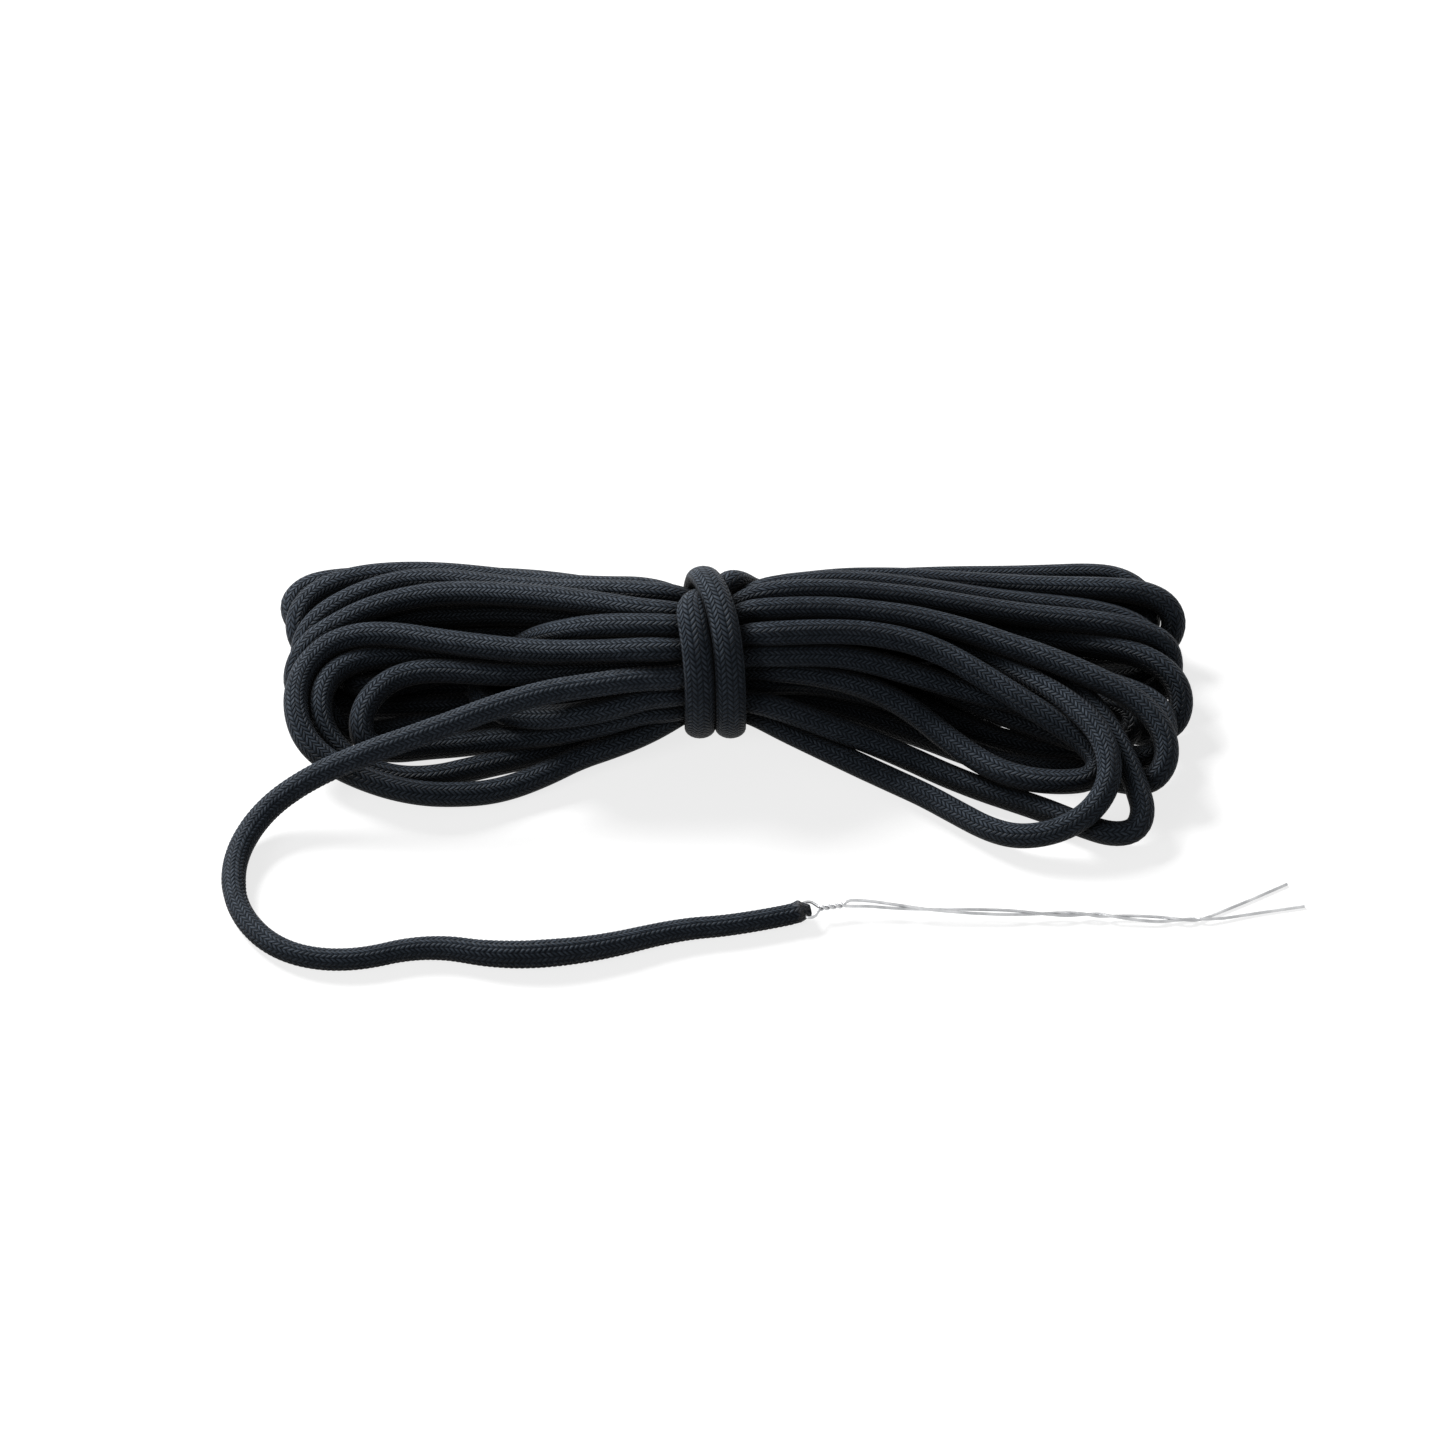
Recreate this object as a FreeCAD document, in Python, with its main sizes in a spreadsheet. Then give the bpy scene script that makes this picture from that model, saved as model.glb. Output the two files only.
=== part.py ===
import FreeCAD, Part
import math
import os
from FreeCAD import Vector

doc = FreeCAD.newDocument("CordHank")

# Driving dimensions, in millimetres and degrees
sheet = doc.addObject("Spreadsheet::Sheet", "Dimensions")
dimensions = [
    ("cordDiameter", 5.0, "braided cord, across"),
    ("tieX", -9.4, "middle of the two wraps along the hank"),
    ("tieY", 21.2, "axis of the waist, front to back"),
    ("waistRadius", 12.6, "turns pressed together under the wraps"),
    ("wrapLength", 6.0, "width that one wrap takes along the hank"),
    ("wrapRounding", 2.0, "edge radius of a wrap, which the tie flattens"),
    ("bulgeRise", 2.4, "how far the turns swell just outside the wraps"),
    ("bulgeLength", 3.4, "length of the hank in which they swell"),
    ("leftReach", 80.4, "left lobe, from its wrap to its end"),
    ("rightReach", 89.6, "right lobe, from its wrap to its end"),
    ("leftTop", 17.0, "height of the left lobe"),
    ("rightTop", 17.0, "height of the right lobe"),
    ("tuckLength", 14.0, "loose end behind the hank"),
    ("tuckRise", 10.0, "angle of that end above the waist's axis"),
    ("tipLength", 5.2, "tapered fused end of the cord"),
    ("tipEndRadius", 1.1, "fused end at its face"),
    ("sheathWall", 0.9, "sheath round the core yarns at the start of the tip"),
    ("faceWall", 0.35, "sheath round the core yarns at the fused face"),
    ("pierceBack", 1.2, "hole for the wire, back from the fused face"),
    ("wireDiameter", 0.6, "threading wire"),
    ("pierceClearance", 0.1, "hole in the yarns, clear of the wire all round"),
    ("eyeClearance", 0.48, "sides of the eye, clear of the tip at the hole"),
    ("eyeForward", 1.7, "straight sides of the eye, ahead of the hole"),
    ("leaderHeading", 11.0, "direction that the wire leaves in, from +X towards +Y"),
    ("neckStart", 3.0, "start of the twist, ahead of the hole"),
    ("twistClearance", 0.06, "each wire clear of the axis of the twist"),
    ("neckPitch", 2.6, "one turn of the twist"),
    ("neckTurns", 2.0, "turns in the twist"),
]
for row, (name, value, note) in enumerate(dimensions, start=1):
    sheet.set("A%d" % row, str(value))
    sheet.setAlias("A%d" % row, name)
    sheet.set("B%d" % row, note)
doc.recompute()


def size(name):
    return float(sheet.get(name))


# Route of the free cord, from inside the left lobe to the start of its tip, with
# each point's height from the table to the cord's underside
leadRoute = [
    (-77.6, -1.8, 10.7),
    (-90.2, -4.6, 6.1),
    (-100.0, -10.4, 1.8),
    (-105.6, -22.4, 0.0),
    (-104.4, -36.4, 0.0),
    (-96.2, -47.2, 0.0),
    (-82.8, -50.4, 0.0),
    (-66.6, -45.2, 0.0),
    (-51.0, -49.2, 0.0),
    (-34.0, -47.2, 0.0),
    (-17.0, -41.0, 0.0),
    (-5.0, -39.7, 0.0),
    (4.5, -37.0, 0.0),
]

# Legs of the threading wire past the twist, each from the neck outwards, with the
# height of its middle in wire diameters
backLeg = [
    (17.4, -33.0, 4.08),
    (21.0, -33.1, 3.92),
    (26.6, -34.1, 3.75),
    (32.9, -35.5, 3.83),
    (40.3, -36.0, 3.08),
    (49.2, -36.3, 2.67),
    (55.8, -35.5, 1.83),
    (60.2, -35.2, 2.08),
    (64.3, -35.9, 2.42),
    (66.9, -36.3, 1.83),
    (69.5, -35.8, 1.25),
    (74.0, -35.8, 1.42),
    (79.0, -36.1, 1.33),
    (83.6, -37.0, 1.67),
    (85.6, -37.0, 1.17),
    (87.6, -36.2, 0.58),
    (91.4, -34.1, 0.58),
    (97.0, -30.9, 0.55),
    (104.4, -26.4, 0.5),
]
frontLeg = [
    (17.4, -34.7, 4.08),
    (21.0, -34.6, 3.92),
    (26.6, -35.0, 3.5),
    (32.9, -34.9, 2.83),
    (40.3, -34.9, 3),
    (49.2, -35.0, 2.67),
    (55.8, -36.1, 2.83),
    (60.2, -36.3, 2.17),
    (64.3, -35.4, 1.42),
    (66.9, -35.4, 1.75),
    (69.5, -36.4, 2.25),
    (74.0, -37.0, 1.5),
    (79.0, -37.4, 1.25),
    (83.6, -36.4, 0.6),
    (85.6, -36.2, 0.83),
    (87.6, -36.8, 1.58),
    (91.4, -36.3, 0.92),
    (98.5, -34.5, 0.53),
    (107.8, -32.6, 0.5),
]

# Sections of a lobe: share of its reach, how far it stands out in front of the waist and
# behind it, underside, share of its top, corner
leftSections = [
    (0.16, 7.2, 5.6, 1.0, 1.70, 12.0),
    (0.31, 9.9, 8.5, 0.0, 1.41, 9.0),
    (0.46, 13.5, 13.5, 0.0, 1.12, 6.0),
    (0.63, 15.5, 18.2, 0.0, 1.00, 5.0),
    (0.79, 11.3, 17.6, 0.0, 0.94, 5.0),
    (0.91, 4.2, 13.8, 0.0, 0.88, 5.0),
    (0.97, -2.9, 9.1, 0.0, 0.82, 5.0),
    (1.00, -11.4, 2.2, 1.0, 0.70, 4.0),
]
rightSections = [
    (0.16, 5.9, 5.3, 0.4, 1.70, 12.0),
    (0.34, 13.0, 10.1, 0.0, 1.35, 7.0),
    (0.52, 24.0, 12.4, 0.0, 1.12, 5.5),
    (0.69, 25.6, 15.2, 0.0, 1.00, 5.0),
    (0.81, 25.6, 15.2, 0.0, 1.00, 5.0),
    (0.91, 22.8, 13.4, 0.0, 0.94, 5.0),
    (0.98, 2.8, 6.2, 0.0, 0.88, 5.0),
    (1.00, -1.4, -6.8, 1.0, 0.70, 4.0),
]


def bentPath(points, share=0.45):
    """straight runs joined by tangent arcs, and the radius of each arc"""
    points = [Vector(*p) for p in points]
    edges = []
    radii = []
    start = points[0]
    for before, here, after in zip(points, points[1:], points[2:]):
        into = here - before
        out = after - here
        turn = into.getAngle(out)
        cut = share * min(into.Length, out.Length)
        into.normalize()
        out.normalize()
        first = here - into * cut
        last = here + out * cut
        radius = cut / math.tan(turn / 2)
        centre = here + (out - into).normalize() * (radius / math.cos(turn / 2))
        middle = centre + (here - centre).normalize() * radius
        edges.append(Part.LineSegment(start, first).toShape())
        edges.append(Part.Arc(first, middle, last).toShape())
        radii.append(radius)
        start = last
    edges.append(Part.LineSegment(start, points[-1]).toShape())
    return Part.Wire(edges), radii


def tubeAlong(points, radius):
    """solid round tube along a bent path, with the path's length"""
    path, radii = bentPath(points)
    tangent = (Vector(*points[1]) - Vector(*points[0])).normalize()
    ring = Part.Wire(Part.Circle(Vector(*points[0]), tangent, radius).toShape())
    tube = path.makePipeShell([ring], True, True)
    return tube, path.Length, radii


def roundedSection(x, front, back, low, high, corner):
    """closed wire across the hank: a rectangle with round corners"""
    corner = min(corner, 0.49 * (back - front), 0.49 * (high - low))
    diagonal = corner * (1 - math.sqrt(0.5))
    corners = [
        ((front + corner, low), (front + diagonal, low + diagonal), (front, low + corner)),
        ((front, high - corner), (front + diagonal, high - diagonal), (front + corner, high)),
        ((back - corner, high), (back - diagonal, high - diagonal), (back, high - corner)),
        ((back, low + corner), (back - diagonal, low + diagonal), (back - corner, low)),
    ]
    edges = []
    for index, arc in enumerate(corners):
        first, middle, last = [Vector(x, y, z) for y, z in arc]
        following = Vector(x, *corners[(index + 1) % 4][0])
        edges.append(Part.Arc(first, middle, last).toShape())
        edges.append(Part.LineSegment(last, following).toShape())
    return Part.Wire(edges)


def lobe(face, direction, reach, top, sections):
    """closed outer shape of the turns on one side of the tie"""
    axisHeight = size("waistRadius") + size("cordDiameter")

    def roundAt(x, radius):
        return roundedSection(
            x,
            size("tieY") - radius,
            size("tieY") + radius,
            axisHeight - radius,
            axisHeight + radius,
            radius,
        )

    wires = [
        roundAt(face, size("waistRadius")),
        roundAt(face + direction * size("bulgeLength"), size("waistRadius") + size("bulgeRise")),
    ]
    for share, ahead, behind, low, height, corner in sections:
        x = face + direction * share * reach
        front = size("tieY") - size("waistRadius") - ahead
        back = size("tieY") + size("waistRadius") + behind
        wires.append(roundedSection(x, front, back, low, height * top, corner))
    return Part.makeLoft(wires, True, True)


def addPiece(name, shape):
    piece = doc.addObject("Part::Feature", name)
    piece.Label = name
    piece.Shape = shape
    piece.Placement = FreeCAD.Placement()
    return piece


pieces = []

# Wound turns: two lobes, and the waist between them
leftFace = size("tieX") - size("wrapLength")
rightFace = size("tieX") + size("wrapLength")
pieces.append(
    addPiece(
        "hank_left_lobe",
        lobe(leftFace, -1, size("leftReach"), size("leftTop"), leftSections),
    )
)
pieces.append(
    addPiece(
        "hank_right_lobe",
        lobe(rightFace, 1, size("rightReach"), size("rightTop"), rightSections),
    )
)
waist = doc.addObject("Part::Cylinder", "hank_waist")
waist.Label = "hank_waist"
waist.setExpression("Radius", "Dimensions.waistRadius")
waist.setExpression("Height", "2 * Dimensions.wrapLength")
waist.Placement.Rotation = FreeCAD.Rotation(Vector(0, 1, 0), 90)
waist.setExpression("Placement.Base.x", "Dimensions.tieX - Dimensions.wrapLength")
waist.setExpression("Placement.Base.y", "Dimensions.tieY")
waist.setExpression("Placement.Base.z", "Dimensions.waistRadius + Dimensions.cordDiameter")
pieces.append(waist)


# Tie: two wraps of the cord's own end round the waist, rounded outside
def addWrap(name, startX):
    outer = doc.addObject("Part::Cylinder", name + "_outer")
    outer.setExpression("Radius", "Dimensions.waistRadius + Dimensions.cordDiameter")
    outer.setExpression("Height", "Dimensions.wrapLength")
    inner = doc.addObject("Part::Cylinder", name + "_inner")
    inner.setExpression("Radius", "Dimensions.waistRadius")
    inner.setExpression("Height", "Dimensions.wrapLength")
    ring = doc.addObject("Part::Cut", name + "_ring")
    ring.Base = outer
    ring.Tool = inner
    doc.recompute()
    outerRadius = size("waistRadius") + size("cordDiameter")
    rims = []
    for number, edge in enumerate(ring.Shape.Edges, start=1):
        if isinstance(edge.Curve, Part.Circle) and abs(edge.Curve.Radius - outerRadius) < 1e-6:
            rims.append((number, size("wrapRounding"), size("wrapRounding")))
    wrap = doc.addObject("Part::Fillet", name)
    wrap.Label = name
    wrap.Base = ring
    wrap.Edges = rims
    wrap.Placement.Rotation = FreeCAD.Rotation(Vector(0, 1, 0), 90)
    wrap.setExpression("Placement.Base.x", startX)
    wrap.setExpression("Placement.Base.y", "Dimensions.tieY")
    wrap.setExpression("Placement.Base.z", "Dimensions.waistRadius + Dimensions.cordDiameter")
    return wrap


pieces.append(addWrap("tie_wrap_left", "Dimensions.tieX - Dimensions.wrapLength"))
pieces.append(addWrap("tie_wrap_right", "Dimensions.tieX"))

# End of the tie, which comes out behind the waist and lies on the right lobe: each point's
# share of its length, and its distance from the waist in cord diameters
tuckPoints = [(0.0, 0.5), (0.4, 1.05), (1.0, 1.3)]
tuckRise = math.radians(size("tuckRise"))
axisHeight = size("waistRadius") + size("cordDiameter")
tuckRoute = []
for along, outward in tuckPoints:
    reach = size("waistRadius") + outward * size("cordDiameter")
    tuckRoute.append(
        (
            rightFace + along * size("tuckLength"),
            size("tieY") + reach * math.cos(tuckRise),
            axisHeight + reach * math.sin(tuckRise),
        )
    )
cordRadius = size("cordDiameter") / 2
tuckTube = tubeAlong(tuckRoute, cordRadius)[0]
pieces.append(addPiece("tucked_end", tuckTube))

# Free cord
leadPoints = [(x, y, lift + cordRadius) for x, y, lift in leadRoute]
leadTube, leadLength, leadRadii = tubeAlong(leadPoints, cordRadius)
pieces.append(addPiece("lead_cord", leadTube))
print("lead cord length %.1f, radii %s" % (leadLength, " ".join("%.0f" % r for r in leadRadii)))
section = math.pi * cordRadius**2
print("lead cord volume over section times length %.4f" % (leadTube.Volume / (section * leadLength)))

# Fused tip: sheath and core as two tapers on the cord's last heading, pierced across
tipStart = Vector(*leadPoints[-1])
tipRun = tipStart - Vector(*leadPoints[-2])
tipHeading = math.degrees(math.atan2(tipRun.y, tipRun.x))
tipTurn = FreeCAD.Rotation(Vector(0, 0, 1), tipHeading)
tipPlacement = FreeCAD.Placement(tipStart, tipTurn * FreeCAD.Rotation(Vector(0, 1, 0), 90))
leaderTurn = FreeCAD.Rotation(Vector(0, 0, 1), size("leaderHeading"))
pierce = tipStart + tipTurn.multVec(Vector(size("tipLength") - size("pierceBack"), 0, 0))


def addTaper(name, wide, narrow):
    taper = doc.addObject("Part::Cone", name)
    taper.setExpression("Radius1", wide)
    taper.setExpression("Radius2", narrow)
    taper.setExpression("Height", "Dimensions.tipLength")
    taper.Placement = tipPlacement
    return taper


def addPierce(name):
    hole = doc.addObject("Part::Cylinder", name)
    hole.setExpression("Radius", "Dimensions.wireDiameter / 2 + Dimensions.pierceClearance")
    hole.setExpression("Height", "2 * Dimensions.cordDiameter")
    across = leaderTurn.multVec(Vector(0, size("cordDiameter"), 0))
    hole.Placement = FreeCAD.Placement(
        pierce + across, leaderTurn * FreeCAD.Rotation(Vector(1, 0, 0), 90)
    )
    return hole


def addCut(name, base, tool):
    cut = doc.addObject("Part::Cut", name)
    cut.Label = name
    cut.Base = base
    cut.Tool = tool
    return cut


outerTaper = addTaper("tip_outer", "Dimensions.cordDiameter / 2", "Dimensions.tipEndRadius")
coreWide = "Dimensions.cordDiameter / 2 - Dimensions.sheathWall"
coreNarrow = "Dimensions.tipEndRadius - Dimensions.faceWall"
innerTaper = addTaper("tip_inner", coreWide, coreNarrow)
coreTaper = addTaper("tip_yarns", coreWide, coreNarrow)
sleeve = addCut("tip_sleeve", outerTaper, innerTaper)
pieces.append(addCut("tip_sheath", sleeve, addPierce("tip_sheath_hole")))
pieces.append(addCut("tip_core", coreTaper, addPierce("tip_core_hole")))

# Threading wire: back leg, twist, eye through the tip, twist and front leg, in one length
twistSteps = 8
wireRadius = size("wireDiameter") / 2
neckRadius = wireRadius + size("twistClearance")
taperAtHole = (cordRadius - size("tipEndRadius")) * size("pierceBack") / size("tipLength")
eyeHalfWidth = size("tipEndRadius") + taperAtHole + wireRadius + size("eyeClearance")


def ahead(forward, across, rise):
    """point in the object's frame from one measured along the wire's heading at the hole"""
    return pierce + leaderTurn.multVec(Vector(forward, across, rise))


def twist(phase):
    points = []
    for step in range(int(size("neckTurns") * twistSteps) + 1):
        angle = 2 * math.pi * step / twistSteps + phase
        forward = size("neckStart") + size("neckPitch") * step / twistSteps
        points.append(ahead(forward, neckRadius * math.cos(angle), neckRadius * math.sin(angle)))
    return points


eye = [
    ahead(size("eyeForward"), eyeHalfWidth, 0),
    ahead(0, eyeHalfWidth, 0),
    ahead(0, -eyeHalfWidth, 0),
    ahead(size("eyeForward"), -eyeHalfWidth, 0),
]


def legPoints(leg):
    return [Vector(x, y, height * size("wireDiameter")) for x, y, height in leg]


wirePoints = list(reversed(legPoints(backLeg)))
wirePoints += list(reversed(twist(0)))
wirePoints += eye
wirePoints += twist(math.pi)
wirePoints += legPoints(frontLeg)
wireTube, wireLength, wireRadii = tubeAlong([(p.x, p.y, p.z) for p in wirePoints], wireRadius)
pieces.append(addPiece("threading_wire", wireTube))
section = math.pi * wireRadius**2
print("wire length %.1f, smallest radius %.2f" % (wireLength, min(wireRadii)))
print("wire volume over section times length %.4f" % (wireTube.Volume / (section * wireLength)))
print("hole for the wire at %.3f %.3f %.3f" % tuple(pierce))

doc.recompute()
for item in doc.Objects:
    if "Invalid" in item.State or "Error" in item.State:
        raise RuntimeError("%s was not made: %s" % (item.Label, item.State))
os.makedirs("parts", exist_ok=True)
for piece in pieces:
    shape = piece.Shape
    if shape.isNull() or not shape.isValid():
        raise RuntimeError("%s has no valid shape" % piece.Label)
    shape.exportStep("parts/%s.step" % piece.Label)
    box = shape.BoundBox
    print("%-16s solids %d volume %9.1f" % (piece.Label, len(shape.Solids), shape.Volume))
    print("  from %.2f %.2f %.2f" % (box.XMin, box.YMin, box.ZMin))
    print("  to   %.2f %.2f %.2f" % (box.XMax, box.YMax, box.ZMax))
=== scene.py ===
import bpy
import math
import numpy as np
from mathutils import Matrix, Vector


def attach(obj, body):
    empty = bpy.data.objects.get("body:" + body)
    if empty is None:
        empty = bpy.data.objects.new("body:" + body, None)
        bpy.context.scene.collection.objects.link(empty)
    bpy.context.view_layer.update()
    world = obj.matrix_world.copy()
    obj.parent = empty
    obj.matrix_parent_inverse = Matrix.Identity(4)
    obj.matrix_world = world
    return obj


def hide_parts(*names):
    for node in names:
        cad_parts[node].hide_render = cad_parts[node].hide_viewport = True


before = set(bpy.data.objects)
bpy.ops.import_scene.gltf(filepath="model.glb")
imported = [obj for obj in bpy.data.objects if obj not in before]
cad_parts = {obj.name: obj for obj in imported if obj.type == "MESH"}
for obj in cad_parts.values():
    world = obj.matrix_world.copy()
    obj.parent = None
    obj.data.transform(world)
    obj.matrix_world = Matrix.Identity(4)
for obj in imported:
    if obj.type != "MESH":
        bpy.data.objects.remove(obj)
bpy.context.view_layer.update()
print("frame loaded")

# Lengths here are in millimetres, as a cord maker writes them. They become metres when a
# curve or a mesh is made.
mm = 0.001
tiny = 1e-9     # keeps a length that may be zero out of a division

cordSize = {
    "diameter": 5.0,
    "columns": 16,      # strands round the sheath, two to a V
    "pitch": 1.05,      # one stitch along the cord
    "slant": 0.5,       # share of the pitch that a stitch climbs across its column
    "edgeDrop": 0.6,    # share of its height that a stitch loses at its column's edges
}


# The photo's pixels and the object's frame

photoView = {
    "pixels": 1445,
    "mmPerPixel": 0.2,
    "elevation": 45.0,  # degrees above the table
    "distance": 6000.0,
    "target": (-7.9, 19.37, 0.0),
    "sensor": 36,       # the lens is chosen for it
    "nearest": 0.1,     # metres, as is the next
    "farthest": 40,
}


def photoAxes():
    tilt = math.radians(photoView["elevation"])
    back = np.array([0, -math.cos(tilt), math.sin(tilt)])
    up = np.array([0, math.sin(tilt), math.cos(tilt)])
    eye = np.array(photoView["target"]) + back * photoView["distance"]
    return back, up, eye


def fromPhoto(px, py, height):
    back, up, eye = photoAxes()
    middle = photoView["pixels"] / 2
    scale = photoView["mmPerPixel"]
    ray = -back * photoView["distance"] + up * (middle - py) * scale
    ray[0] += (px - middle) * scale
    return eye + ray * ((height - eye[2]) / ray[2])


# Turns of the hank in the order of winding, a left one after each right one: photo pixel and
# height of each point, from the waist out along the upper run, round the end and back

rightTurns = {
    "inner": [
        (764, 655, 24), (800, 654, 22), (834, 655, 20), (868, 661, 17.5), (901, 671, 15),
        (935, 682, 12.5), (966, 692, 10.5), (997, 701, 9.2), (1028, 707, 8), (1062, 708, 6.8),
        (1096, 706, 5.4), (1124, 712, 4.2), (1133, 729, 3.4), (1114, 744, 2.8),
        (1080, 752, 2.5), (1046, 752, 2.5), (1012, 746, 2.5), (981, 736, 3), (950, 724, 3.8),
        (920, 713, 5.2), (889, 704, 7), (859, 695, 9.2), (828, 688, 11.6), (797, 685, 14),
        (764, 685, 16.5),
    ],
    "front": [
        (770, 630, 25), (810, 628, 23.5), (852, 628, 21), (892, 632, 18.5), (929, 640, 17),
        (963, 651, 15.8), (993, 664, 14.8), (1024, 679, 13.8), (1054, 695, 12.8),
        (1078, 712, 12), (1098, 732, 11), (1109, 757, 9.5), (1109, 783, 7.5), (1096, 807, 5.3),
        (1073, 825, 3.6), (1045, 835, 2.7), (1015, 837, 2.5), (987, 829, 2.5), (957, 813, 2.5),
        (926, 796, 2.5), (892, 781, 2.5), (859, 766, 3), (822, 749, 4.5), (788, 734, 6.5),
        (764, 723, 8.5),
    ],
    "second": [
        (764, 635, 27.5), (800, 633, 26), (837, 632, 24), (874, 634, 22), (911, 641, 20),
        (944, 653, 18), (975, 670, 16), (1005, 688, 14), (1036, 707, 12), (1064, 724, 9.5),
        (1088, 742, 7), (1103, 762, 5.2), (1092, 779, 4.6), (1063, 782, 4.8), (1030, 780, 5.5),
        (999, 772, 6), (969, 755, 6.5), (941, 734, 7.5), (914, 712, 9), (883, 694, 11),
        (849, 682, 13.5), (813, 675, 16.5), (776, 672, 19.5),
    ],
    "end": [
        (764, 616, 24), (807, 616, 21.5), (852, 618, 18.5), (898, 623, 16), (944, 629, 14),
        (990, 634, 12.5), (1030, 639, 11.8), (1067, 643, 11.3), (1103, 646, 11),
        (1135, 653, 10), (1161, 666, 9), (1177, 685, 7.5), (1181, 708, 6), (1172, 731, 4),
        (1147, 744, 2.8), (1115, 737, 2.5), (1082, 729, 2.5), (1036, 723, 2.5), (990, 717, 2.5),
        (944, 711, 3), (901, 704, 4.2), (862, 698, 5.5), (822, 692, 7.5), (791, 689, 9),
        (764, 688, 10),
    ],
    "low": [
        (776, 649, 20), (822, 648, 17.5), (862, 646, 14.5), (901, 647, 12), (938, 653, 10),
        (975, 662, 8.5), (1012, 674, 8), (1045, 688, 7.8), (1074, 706, 7.5), (1097, 726, 7),
        (1114, 749, 6), (1126, 770, 5), (1136, 792, 4), (1143, 813, 3), (1136, 832, 2.5),
        (1112, 835, 2.5), (1082, 825, 2.5), (1048, 811, 2.5), (1015, 800, 2.5), (981, 789, 2.5),
        (944, 775, 2.5), (908, 759, 2.8), (871, 744, 4), (834, 731, 6), (797, 718, 8.5),
        (764, 709, 11),
    ],
    "third": [
        (764, 609, 29.5), (800, 608, 28), (837, 609, 26), (874, 613, 24), (911, 618, 22),
        (944, 626, 20), (975, 635, 18.5), (1005, 646, 17), (1036, 656, 16), (1067, 668, 15),
        (1097, 681, 14), (1128, 696, 12.5), (1153, 717, 10.5), (1166, 740, 8.5),
        (1166, 764, 6.5), (1152, 782, 4.5), (1128, 783, 3), (1103, 775, 2.5), (1070, 770, 2.5),
        (1036, 769, 2.5), (999, 764, 2.5), (963, 752, 2.7), (926, 737, 3.5), (892, 725, 5),
        (862, 715, 6.5), (831, 707, 8.5), (797, 702, 10.5), (764, 700, 12.5),
    ],
    "fourth": [
        (764, 588, 29), (800, 587, 27.5), (837, 589, 25.5), (874, 593, 23.5), (914, 598, 21.5),
        (953, 605, 19.5), (993, 612, 17.5), (1033, 618, 16), (1073, 622, 15), (1113, 627, 14),
        (1144, 634, 12), (1165, 645, 10), (1171, 664, 7.5), (1167, 685, 5), (1146, 697, 3),
        (1113, 698, 2.5), (1067, 696, 2.5), (1021, 695, 2.5), (975, 692, 2.5), (929, 686, 3),
        (883, 679, 4.5), (837, 672, 6.5), (791, 667, 8.5), (764, 665, 10),
    ],
    "fifth": [
        (764, 584, 26), (800, 581, 25), (837, 580, 23.5), (874, 583, 22), (911, 588, 19.5),
        (944, 593, 16.5), (981, 599, 13.5), (1021, 604, 11), (1061, 608, 9.5), (1097, 613, 8),
        (1130, 622, 6.5), (1152, 637, 5), (1158, 658, 3.5), (1146, 677, 2.6), (1104, 681, 2.5),
        (1051, 679, 2.5), (1005, 677, 2.5), (960, 674, 2.6), (914, 668, 3.3), (868, 661, 4.8),
        (822, 655, 6.5), (764, 648, 9),
    ],
    "upper": [
        (764, 584, 22), (800, 581, 21), (837, 578, 19.5), (874, 578, 18), (908, 579, 17),
        (941, 582, 16), (975, 584, 15), (1005, 586, 14), (1039, 588, 13.5), (1076, 589, 13),
        (1113, 590, 12.5), (1141, 593, 11.5), (1164, 603, 10), (1174, 621, 8), (1169, 640, 5.5),
        (1154, 654, 3), (1125, 658, 2.5), (1082, 659, 2.5), (1036, 660, 2.5), (990, 661, 2.5),
        (944, 657, 2.5), (898, 651, 3.3), (852, 643, 4.8), (807, 637, 6.5), (764, 633, 8),
    ],
    "back": [
        (764, 591, 16), (803, 590, 15.5), (843, 589, 14.5), (880, 588, 13.2), (920, 587, 12),
        (963, 586, 11), (1005, 585, 10), (1048, 582, 9.2), (1085, 579, 8.8), (1112, 580, 8.3),
        (1133, 588, 7.4), (1148, 602, 6), (1152, 618, 4), (1138, 632, 2.6), (1104, 638, 2.5),
        (1061, 640, 2.5), (1015, 641, 2.5), (969, 641, 2.5), (923, 637, 2.5), (877, 632, 3.5),
        (831, 627, 5), (764, 620, 7),
    ],
    "hidden": [
        (764, 607, 14), (810, 604, 12.5), (852, 601, 11), (898, 600, 9.8), (944, 599, 9.2),
        (990, 599, 9), (1036, 600, 9), (1080, 601, 9), (1120, 602, 8.6), (1152, 607, 7.2),
        (1166, 619, 5), (1152, 632, 3), (1112, 632, 2.5), (1060, 626, 2.5), (1002, 622, 2.5),
        (957, 622, 2.5), (911, 623, 3), (865, 627, 5), (819, 633, 8.5), (764, 640, 11.5),
    ],
    "core": [
        (764, 627, 17), (807, 627, 15), (852, 628, 13), (898, 633, 10.5), (944, 642, 8.2),
        (990, 654, 7.6), (1036, 664, 7.5), (1076, 675, 7.3), (1110, 686, 6.8), (1143, 697, 5.8),
        (1163, 711, 5), (1168, 735, 4), (1155, 757, 3.4), (1129, 757, 3.4), (1100, 743, 4.2),
        (1068, 731, 6), (1030, 716, 7.2), (985, 698, 7.2), (929, 676, 7.4), (883, 660, 8),
        (837, 645, 8.5), (800, 634, 8), (770, 628, 6.5),
    ],
}
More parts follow.
